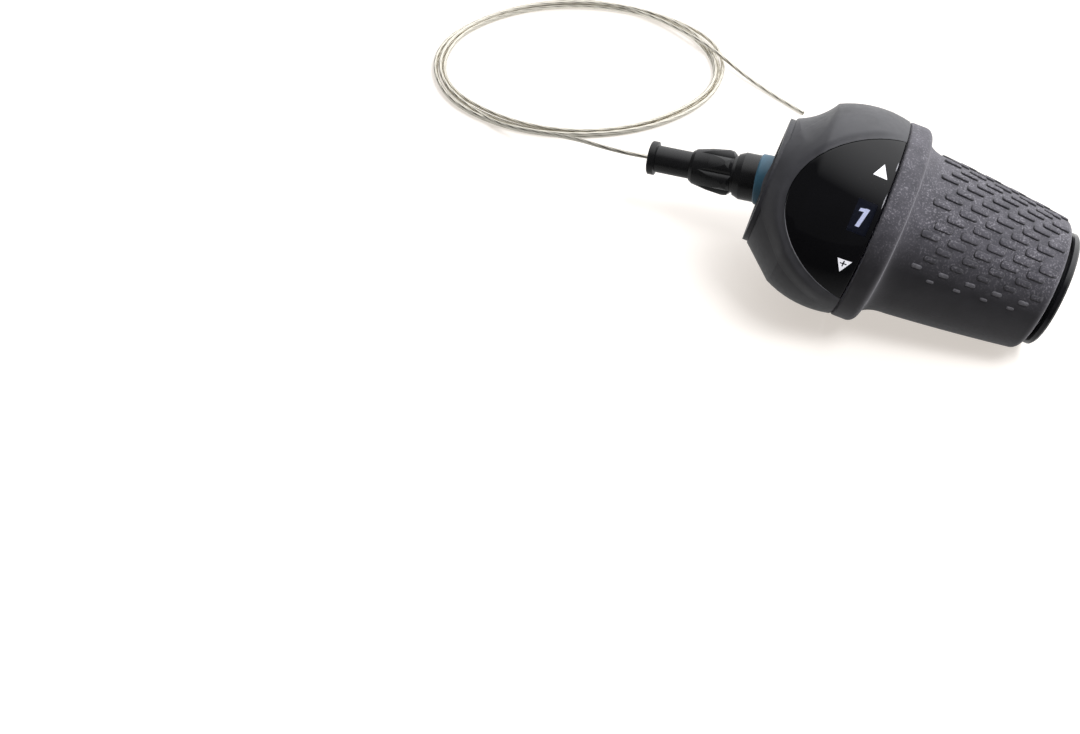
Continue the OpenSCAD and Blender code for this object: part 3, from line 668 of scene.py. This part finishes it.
def grip_profile():
    """Outline of the grip's rubber, as x and radius, from its bore round the outside and back."""
    edge_x, fillet_x = SEAM_GAP + FLANGE_W - FLANGE_EDGE, SEAM_GAP + FLANGE_W
    line = [(SEAM_GAP, HUB_R)]
    line += [(SEAM_GAP + along, FLANGE_R - drop) for along, drop in SEAM_EDGE]
    for degrees in range(0, 90, 10):
        a = math.radians(degrees)
        line.append((edge_x + FLANGE_EDGE * math.sin(a), FLANGE_R - FLANGE_EDGE * (1 - math.cos(a))))
    rise = FLANGE_R - FLANGE_EDGE - ROOT_R
    for i in range(1, FILLET_STEPS + 1):
        a = math.radians(90 * i / FILLET_STEPS)
        line.append((fillet_x + (ROOT_X - fillet_x) * (1 - math.cos(a)), ROOT_R + rise * (1 - math.sin(a))))
    for i in range(1, TAPER_STEPS + 1):
        x = ROOT_X + (GRIP_LEN - GRIP_EDGE - ROOT_X) * i / TAPER_STEPS
        line.append((x, taper_r(x)))
    for i in range(1, TIP_STEPS + 1):
        a = math.radians(90 * i / TIP_STEPS)
        line.append((GRIP_LEN - GRIP_EDGE * (1 - math.sin(a)), TIP_R - GRIP_EDGE * (1 - math.cos(a))))
    return [*line, (GRIP_LEN, HUB_R)]


def grip_skin(material, flank_shade_material, dash_material):
    """The rubber grip with a smooth skin and its raised pads."""
    bm = bmesh.new()
    rings = [
        [bm.verts.new(on_bar(x, 360 * k / GRIP_SIDES, r)) for k in range(GRIP_SIDES)]
        for x, r in grip_profile()
    ]
    join_rings(bm, [*rings, rings[0]])
    add_pads(bm)
    skin = new_piece("grip_skin", bm, material, "grip")
    # Painted shade on the pads' flanks
    skin.data.materials.append(flank_shade_material)
    skin.data.materials.append(dash_material)
    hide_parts("rubber_grip")


# Marks on the window and numbers on the drum: all about this x, with the marks at these y
MARK_X = -3.75
UP_Y, DOWN_Y, PLUS_Y = 12.8, -13.2, -12.5
TRIANGLE_WIDTH, TRIANGLE_HEIGHT, TRIANGLE_ROWS, TIP_HALF = 3.7, 3.6, 8, 0.02
PLUS_ARM, PLUS_HALF = 0.85, 0.16


def lay_on(bm, points, y, r_at, turn=0.0):
    """Adds a flat outline to a skin with radius r_at(x): its x runs along the bar and its y round it."""
    verts = []
    for u, v in points:
        x = MARK_X + u
        verts.append(bm.verts.new(on_bar(x, turn + math.degrees((y + v) / r_at(MARK_X)), r_at(x))))
    return verts


def on_window(x):
    return dome_r(x) - SEAT_GAP + MARK_LIFT


def triangle_mark(bm, y, way):
    """Filled triangle, its tip up for way 1 and down for -1, in rows so that it bends with the window."""
    levels = []
    for i in range(TRIANGLE_ROWS + 1):
        share = i / TRIANGLE_ROWS
        half = TRIANGLE_WIDTH / 2 * (1 - share) + TIP_HALF
        v = way * TRIANGLE_HEIGHT * (share - 0.5)
        levels.append(lay_on(bm, [(half * (k / 2 - 1), v) for k in range(5)], y, on_window))
    join_rings(bm, levels, closed=False)


def window_marks(material):
    bm = bmesh.new()
    triangle_mark(bm, UP_Y, 1)
    triangle_mark(bm, DOWN_Y, -1)
    new_piece("window_marks", bm, material, "housing")


def plus_mark(material):
    """Dark plus sign on the lower triangle."""
    bm = bmesh.new()
    for u, v in ((PLUS_ARM, PLUS_HALF), (PLUS_HALF, PLUS_ARM)):
        bar = [(-u, -v), (u, -v), (u, v), (-u, v)]
        bm.faces.new(lay_on(bm, bar, PLUS_Y, lambda x: on_window(x) + MARK_LIFT))
    new_piece("plus_mark", bm, material, "housing")


GEARS, GEAR_STEP = 7, 25
DIGIT_HEIGHT, DIGIT_ROWS, DIGIT_SLANT, DIGIT_BOLD = 4.9, 12, 0.2, 0.03
DIGIT_LIFT, FLAG_LIFT = 0.06, 0.08
# Stroke that leads into the top of the 1, in millimetres from its middle
ONE_FLAG = [(-1.5, 1.3), (-1.35, 2.15), (0.7, 2.45), (0.55, 1.6)]


def digit_points(text):
    """Mesh of a number in the built-in face, in rows so that it bends with the drum, about its middle."""
    curve = bpy.data.curves.new("digit", "FONT")
    curve.body, curve.align_x, curve.align_y = text, "CENTER", "CENTER"
    curve.shear, curve.offset, curve.resolution_u = DIGIT_SLANT, DIGIT_BOLD, 4
    temp = bpy.data.objects.new("digit", curve)
    bpy.context.collection.objects.link(temp)
    mesh = bpy.data.meshes.new_from_object(temp)
    bpy.data.objects.remove(temp)
    bm = bmesh.new()
    bm.from_mesh(mesh)
    heights = [v.co.y for v in bm.verts]
    for i in range(1, DIGIT_ROWS):
        y = min(heights) + (max(heights) - min(heights)) * i / DIGIT_ROWS
        everything = [*bm.verts, *bm.edges, *bm.faces]
        bmesh.ops.bisect_plane(bm, geom=everything, plane_co=(0, y, 0), plane_no=(0, 1, 0))
    bmesh.ops.triangulate(bm, faces=bm.faces)
    points = [(v.co.x, v.co.y) for v in bm.verts]
    faces = [[v.index for v in f.verts] for f in bm.faces]
    bm.free()
    low = [min(p[i] for p in points) for i in (0, 1)]
    high = [max(p[i] for p in points) for i in (0, 1)]
    scale = DIGIT_HEIGHT / (high[1] - low[1])
    middle = [(a + b) / 2 for a, b in zip(low, high)]
    return [((px - middle[0]) * scale, (py - middle[1]) * scale) for px, py in points], faces


def drum_numbers(material):
    """The gears' numbers round the drum, one gear's turn apart."""
    bm = bmesh.new()
    for i in range(GEARS):
        points, faces = digit_points(str(i + 1))
        verts = lay_on(bm, points, 0, lambda x: DRUM_R + DIGIT_LIFT, GEAR_STEP * i)
        for face in faces:
            bm.faces.new([verts[k] for k in face])
    bm.faces.new(lay_on(bm, ONE_FLAG, 0, lambda x: DRUM_R + FLAG_LIFT))
    new_piece("drum_numbers", bm, material, "grip")


# The free wire, with the solids' route points, in metres in the shared frame; its radius in millimetres
WIRE_R, WIRE_SIDES, ROUTE_STEPS = 0.6, 10, 6
LEAD_ROUTE = [(-0.0637, 0.0155, -0.006), (-0.070, 0.0156, -0.0062), (-0.078, 0.018, -0.0076),
              (-0.087, 0.0236, -0.011), (-0.096, 0.030, -0.0156), (-0.105, 0.035, -0.0196),
              (-0.114, 0.039, -0.0226), (-0.123, 0.0434, -0.0246), (-0.131, 0.0486, -0.0254)]
TAIL_ROUTE = [(-0.086, 0.1184, -0.0252), (-0.079, 0.1136, -0.024), (-0.071, 0.108, -0.0232),
              (-0.062, 0.1016, -0.0238), (-0.052, 0.095, -0.0254), (-0.041, 0.0884, -0.0264),
              (-0.0306, 0.082, -0.0264)]
COIL_AT, COIL_TURN = Vector((-0.1068, 0.0842)), math.radians(19.1)
COIL_A, COIL_B, COIL_END_R, BUNDLE_R = 0.0464, 0.0394, 0.034, 0.00165
COIL_SIDE_R = ((COIL_A - COIL_END_R) ** 2 + COIL_B ** 2 - COIL_END_R ** 2) / (2 * (COIL_B - COIL_END_R))
# Whole turns of the coil, points on them, and the angle over which they settle into the bundle
COIL_LOOPS, TURN_STEP, SETTLE = 4, math.radians(3), math.radians(24)
# The turns go round the bundle once in this many, and the bundle is spread flat, unevenly in two waves
TURNS_ROUND, BUNDLE_START = 5, math.radians(90)
SPREAD, SPREAD_SLOW, SPREAD_FAST, SPREAD_PHASE = 1.25, 0.55, 0.25, 0.6
# Passes that even out the bends, and how many points they reach to either side of the two joins
EASE_PASSES, LEAD_REACH, TAIL_REACHES = 12, 5, (14, 10, 6)
HEADINGS = 720


def smooth_route(points):
    """Smooth curve through the points."""
    p = [Vector(q) for q in points]
    p = [2 * p[0] - p[1], *p, 2 * p[-1] - p[-2]]
    out = []
    for a, b, c, d in zip(p, p[1:], p[2:], p[3:]):
        for k in range(ROUTE_STEPS):
            t = k / ROUTE_STEPS
            out.append(0.5 * (2 * b + (c - a) * t + (2 * a - 5 * b + 4 * c - d) * t ** 2
                              + (3 * b - a - 3 * c + d) * t ** 3))
    return [*out, p[-2]]


def coil_point(heading, out, up):
    """Point of the coil where its outward side faces heading, moved out and up from the bundle's middle."""
    opening = math.acos((COIL_A - COIL_END_R) / (COIL_SIDE_R - COIL_END_R))
    h = (heading + opening) % FULL_TURN - opening
    if h < opening:
        cx, cy, r = COIL_A - COIL_END_R, 0, COIL_END_R
    elif h < math.pi - opening:
        cx, cy, r = 0, COIL_B - COIL_SIDE_R, COIL_SIDE_R
    elif h < math.pi + opening:
        cx, cy, r = COIL_END_R - COIL_A, 0, COIL_END_R
    else:
        cx, cy, r = 0, COIL_SIDE_R - COIL_B, COIL_SIDE_R
    place = Vector((cx + (r + out) * math.cos(h), cy + (r + out) * math.sin(h)))
    flat = Matrix.Rotation(COIL_TURN, 2) @ place + COIL_AT
    return Vector((flat.x, flat.y, TABLE_Z + BUNDLE_R + up))


def nearest_heading(point):
    headings = [FULL_TURN * i / HEADINGS for i in range(HEADINGS)]
    return min(headings, key=lambda h: (coil_point(h, 0, 0) - Vector(point)).length)


def ease(points, join, reach):
    """Evens out the bends on either side of a join, so that the stiff wire has no kink."""
    for _ in range(EASE_PASSES):
        for i in range(join - reach, join + reach):
            points[i] = (points[i - 1] + 2 * points[i] + points[i + 1]) / 4


def wire_path():
    """Lead, then the turns of the coil, then the tail."""
    start, end = nearest_heading(LEAD_ROUTE[-1]), nearest_heading(TAIL_ROUTE[0])
    sweep = (start - end) % FULL_TURN + FULL_TURN * COIL_LOOPS
    count = round(sweep / TURN_STEP)
    ring = BUNDLE_R - WIRE_R * MM
    turns = []
    for i in range(1, count):
        gone = sweep * i / count
        heading = start - gone
        grow = smooth(min(gone, sweep - gone) / SETTLE)
        place = BUNDLE_START + gone / TURNS_ROUND
        slow, fast = math.sin(2 * heading + SPREAD_PHASE), math.sin(5 * heading)
        spread = SPREAD + SPREAD_SLOW * slow + SPREAD_FAST * fast
        out = ring * grow * spread * math.cos(place)
        turns.append(coil_point(heading, out, ring * grow * math.sin(place)))
    lead, tail = smooth_route(LEAD_ROUTE), smooth_route(TAIL_ROUTE)
    path = [*lead, *turns, *tail]
    ease(path, len(lead), LEAD_REACH)
    for reach in TAIL_REACHES:
        ease(path, len(lead) + len(turns), reach)
    return path


def inner_wire(material):
    """The free wire as a tube along its route, with its length in the uv map for the strands."""
    path = wire_path()
    bm = bmesh.new()
    uv = bm.loops.layers.uv.new("along")
    around = [FULL_TURN * k / WIRE_SIDES for k in range(WIRE_SIDES)]
    rings, gone, length = [], [], 0.0
    for i, point in enumerate(path):
        way = (path[min(i + 1, len(path) - 1)] - path[max(i - 1, 0)]).normalized()
        side = way.cross(Vector((0, 0, 1))).normalized()
        up = side.cross(way)
        length += (point - path[i - 1]).length if i else 0
        gone.append(length)
        rings.append([
            bm.verts.new(point + WIRE_R * MM * (math.cos(a) * side + math.sin(a) * up)) for a in around
        ])
    for i in range(len(rings) - 1):
        for k in range(WIRE_SIDES):
            j = (k + 1) % WIRE_SIDES
            face = bm.faces.new((rings[i][k], rings[i][j], rings[i + 1][j], rings[i + 1][k]))
            places = ((k, i), (k + 1, i), (k + 1, i + 1), (k, i + 1))
            for loop, (across, along) in zip(face.loops, places):
                loop[uv].uv = (across / WIRE_SIDES, gone[along])
    for ring in (rings[0], rings[-1]):
        bm.faces.new(ring)
    wire = new_piece("inner_wire", bm, material, "housing")
    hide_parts("wire_lead", "wire_coil", "wire_tail")


# Table: its colours to the camera, and what the part sees of it, in metres and strengths along y
TABLE_COLOR, TABLE_GLOW_COLOR, TABLE_GLOW = (0.55, 0.54, 0.53, 1), (1, 0.93, 0.86, 1), 0.6
DIM_COLOR = (0.45, 0.44, 0.43, 1)
MIRRORED_Y, MIRRORED_STRENGTH = (-0.07, 0.1), (0.03, 1.0)
TABLE_HALF = 6


def white_floor():
    """White table with soft warm shadows; mirrored in the part it is white behind and dim in front."""
    s = Shader("table_white")
    s.set(Base_Color=TABLE_COLOR, Roughness=0.6, Specular_IOR_Level=0.0)
    glow = s.add("ShaderNodeEmission")
    glow.inputs["Color"].default_value = TABLE_GLOW_COLOR
    glow.inputs["Strength"].default_value = TABLE_GLOW
    seen = s.add("ShaderNodeAddShader")
    s.link(s.main.outputs["BSDF"], seen.inputs[0])
    s.link(glow.outputs["Emission"], seen.inputs[1])
    dim = s.add("ShaderNodeBsdfDiffuse")
    dim.inputs["Color"].default_value = DIM_COLOR
    mirrored = s.add("ShaderNodeEmission")
    split = s.add("ShaderNodeSeparateXYZ")
    s.link(s.coords, split.inputs["Vector"])
    s.link(s.span(split.outputs["Y"], *MIRRORED_Y, *MIRRORED_STRENGTH), mirrored.inputs["Strength"])
    ray = s.add("ShaderNodeLightPath")
    unseen = s.mix(ray.outputs["Is Glossy Ray"], dim.outputs["BSDF"], mirrored.outputs["Emission"])
    s.link(s.mix(ray.outputs["Is Camera Ray"], unseen, seen.outputs["Shader"]), s.out.inputs["Surface"])
    return s.material


def make_floor():
    bm = bmesh.new()
    corners = ((-1, -1), (1, -1), (1, 1), (-1, 1))
    bm.faces.new([bm.verts.new((x * TABLE_HALF, y * TABLE_HALF, TABLE_Z)) for x, y in corners])
    mesh = bpy.data.meshes.new("table_top")
    bm.to_mesh(mesh)
    bm.free()
    mesh.materials.append(white_floor())
    floor = bpy.data.objects.new("table_top", mesh)
    bpy.context.collection.objects.link(floor)


LAMP_AT, LAMP_SIZE, LAMP_POWER = Vector((0.27, -0.18, 0.7)), 0.3, 4.6


def make_lamp():
    """Soft lamp above and in front of the shifter, aimed at the seam and not mirrored in the part."""
    data = bpy.data.lights.new("overhead", "AREA")
    data.shape, data.size, data.size_y = "RECTANGLE", LAMP_SIZE, LAMP_SIZE
    data.energy = LAMP_POWER
    light = bpy.data.objects.new("overhead", data)
    bpy.context.collection.objects.link(light)
    light.visible_glossy = False
    light.location = LAMP_AT
    light.rotation_euler = (-LAMP_AT).to_track_quat("-Z", "Y").to_euler()


# The world is brightest this way: over these dot products with a ray its strength rises
WORLD_WAY, WORLD_COLOR = (0.3, 0.6, 0.74), (0.98, 0.985, 1, 1)
WORLD_DOT, WORLD_STRENGTH = (0.25, 0.95), (0.07, 1.8)


def make_world():
    """White to the camera; for the part bright above and behind, and dim in front."""
    world = bpy.data.worlds.new("studio")
    bpy.context.scene.world = world
    world.use_nodes = True
    tree = world.node_tree
    tree.nodes.clear()
    add, link = tree.nodes.new, tree.links.new
    coords, along, ramp = add("ShaderNodeTexCoord"), add("ShaderNodeVectorMath"), add("ShaderNodeMapRange")
    along.operation = "DOT_PRODUCT"
    along.inputs[1].default_value = WORLD_WAY
    link(coords.outputs["Generated"], along.inputs[0])
    set_range(ramp, *WORLD_DOT, *WORLD_STRENGTH)
    link(along.outputs["Value"], ramp.inputs["Value"])
    lit, shown, ray = add("ShaderNodeBackground"), add("ShaderNodeBackground"), add("ShaderNodeLightPath")
    lit.inputs["Color"].default_value = WORLD_COLOR
    link(ramp.outputs["Result"], lit.inputs["Strength"])
    shown.inputs["Color"].default_value = (1, 1, 1, 1)
    mix, out = add("ShaderNodeMixShader"), add("ShaderNodeOutputWorld")
    link(ray.outputs["Is Camera Ray"], mix.inputs["Fac"])
    link(lit.outputs["Background"], mix.inputs[1])
    link(shown.outputs["Background"], mix.inputs[2])
    link(mix.outputs["Shader"], out.inputs["Surface"])


def dress(materials):
    """Gives each solid its finish, by its slot in the record."""
    for part in frame["record"]["subparts"]:
        piece = NODES[part["node"]]
        piece.data.materials.clear()
        piece.data.materials.append(materials[part["material_slot"]])


make_camera()
materials = {
    "housing_plastic": housing_plastic(), "dark_nylon": dark_nylon(), "window_plastic": window_plastic(),
    "plate_plastic": plate_plastic(), "screw_steel": zinc_steel(), "spring_steel": spring_steel(),
    "pale_nylon": pale_nylon(), "adjuster_plastic": adjuster_plastic(), "blue_ring": blue_ring(),
    "gloss_black": gloss_black(), "grip_rubber": grip_rubber(), "drum_plastic": drum_plastic(),
    "wire_steel": wire_steel(),
}
dress(materials)
inner_wire(materials["wire_steel"])
# White print with a painted glow, for the window's marks and the drum's numbers
white = glowing_print_white()
window_pane(materials["window_plastic"])
window_glint(painted_glint())
bezel_ridge(materials["housing_plastic"])
grip_skin(materials["grip_rubber"], pad_flank_shade(), pad_dash())
window_marks(white)
plus_mark(materials["gloss_black"])
drum_numbers(white)
make_floor()
make_world()
make_lamp()

bpy.context.scene.view_settings.view_transform = "Standard"
